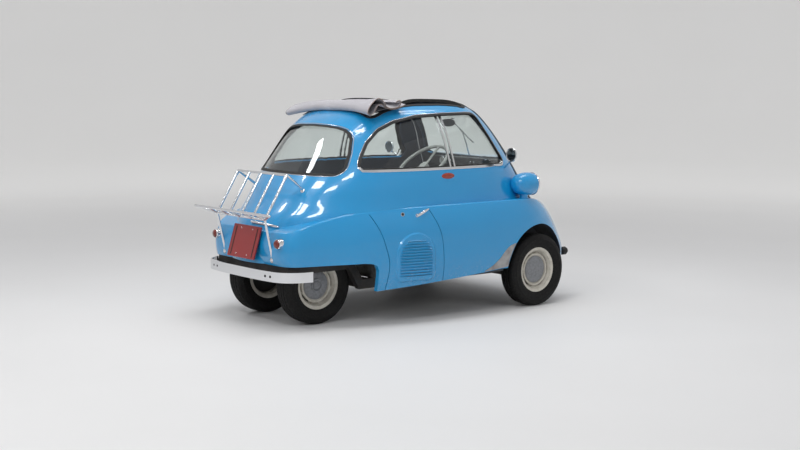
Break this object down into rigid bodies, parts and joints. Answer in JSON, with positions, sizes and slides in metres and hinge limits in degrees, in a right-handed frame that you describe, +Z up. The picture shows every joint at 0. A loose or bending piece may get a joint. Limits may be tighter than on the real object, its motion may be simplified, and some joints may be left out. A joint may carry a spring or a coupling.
{
  "type": "bubble car",
  "caption": "Egg-shaped small car with a full-width front door, folding cloth roof, narrow rear track and a luggage rack on the tail.",
  "frame": {"origin": "centre of the whole car at ground level", "axes": "+X forward, +Y to the left side, +Z up"},
  "size_m": [2.359, 1.383, 1.34],
  "materials": {
    "blue_paint": "glossy sky-blue paint with light wear",
    "lamp_glass": "clear fluted lamp glass",
    "window_glass": "clear window glass and sliding panes",
    "chrome": "polished plating with fine scratches",
    "black_rubber": "matte black rubber",
    "grey_cloth": "coated grey roof cloth, folded",
    "floor_grey": "dark grey paint",
    "black_steel": "black paint, dusty",
    "cast_grey": "dark cast metal",
    "cast_alloy": "cast alloy",
    "bare_steel": "bare steel, dull",
    "tyre": "black tyre rubber",
    "cream_paint": "cream paint with grey hub caps",
    "seat_cloth": "woven grey-blue seat cloth",
    "dark_trim": "dark blue-black trim",
    "pale_plastic": "pale grey moulded rim",
    "orange_lens": "orange-red lamp lens in a bright rim",
    "plate_red": "dark red blank plate"
  },
  "bodies": {
    "car_body": {"body_shell": "blue_paint", "front_wing_left": "blue_paint", "front_wing_right": "blue_paint", "engine_cover": "blue_paint", "side_panel_left": "blue_paint", "rear_body": "blue_paint", "headlamp_pods": "blue_paint", "headlamp_lenses": "lamp_glass", "side_windows": "window_glass", "rear_window": "window_glass", "window_frames": "chrome", "rubber_seals": "black_rubber", "folded_roof": "grey_cloth", "floor_pan": "floor_grey", "chassis_frame": "black_steel", "front_axle": "black_steel", "rear_axle_carrier": "cast_grey", "engine_block": "cast_alloy", "silencer": "bare_steel", "seat": "seat_cloth", "seat_frame": "black_steel", "hinge_brackets": "chrome", "pedals_and_levers": "black_steel", "signal_lamps": "orange_lens", "rear_bumper": "chrome", "front_buffers": "black_rubber", "luggage_rack": "chrome", "number_plate": "plate_red", "mirrors": "chrome"},
    "door": {"front_door": "blue_paint", "windscreen": "window_glass", "dash": "dark_trim", "steering_column": "dark_trim", "door_hardware": "chrome", "wiper": "dark_trim"},
    "steering_wheel": {"steering_wheel": "pale_plastic"},
    "knuckle_left": {"knuckle_left": "cast_grey"},
    "knuckle_right": {"knuckle_right": "cast_grey"},
    "front_wheel_left": {"front_tyre_left": "tyre", "front_rim_left": "cream_paint"},
    "front_wheel_right": {"front_tyre_right": "tyre", "front_rim_right": "cream_paint"},
    "rear_wheels": {"rear_tyres": "tyre", "rear_rims": "cream_paint", "rear_axle_shaft": "bare_steel"}
  },
  "joints": [
    {"name": "front_door_hinge", "type": "hinge", "parent": "car_body", "child": "door", "pos_m": [1.0735, 0.548, 0.42], "axis": [-0.2932, 0, 0.9561], "range_deg": [0, 80]},
    {"name": "steer_right", "type": "hinge", "parent": "car_body", "child": "knuckle_right", "pos_m": [0.7375, -0.505, 0.2346], "axis": [0, 0, 1], "range_deg": [-28, 28]},
    {"name": "steer_left", "type": "hinge", "parent": "car_body", "child": "knuckle_left", "pos_m": [0.7375, 0.505, 0.2346], "axis": [0, 0, 1], "range_deg": [-28, 28]},
    {"name": "steering_wheel_turn", "type": "hinge", "parent": "door", "child": "steering_wheel", "pos_m": [0.5225, 0.215, 0.842], "axis": [-0.6204, 0, 0.7843], "range_deg": [-364, 364]},
    {"name": "front_wheel_right_spin", "type": "hinge", "parent": "knuckle_right", "child": "front_wheel_right", "pos_m": [0.7375, -0.6, 0.2346], "axis": [0, 1, 0], "continuous": true},
    {"name": "front_wheel_left_spin", "type": "hinge", "parent": "knuckle_left", "child": "front_wheel_left", "pos_m": [0.7375, 0.6, 0.2346], "axis": [0, 1, 0], "continuous": true},
    {"name": "rear_axle_spin", "type": "hinge", "parent": "car_body", "child": "rear_wheels", "pos_m": [-0.7625, 0, 0.2346], "axis": [0, 1, 0], "continuous": true}
  ],
  "couplings": [
    {"joint": "steer_left", "follows": "steer_right", "ratio": 1},
    {"joint": "steering_wheel_turn", "follows": "steer_right", "ratio": 13}
  ]
}
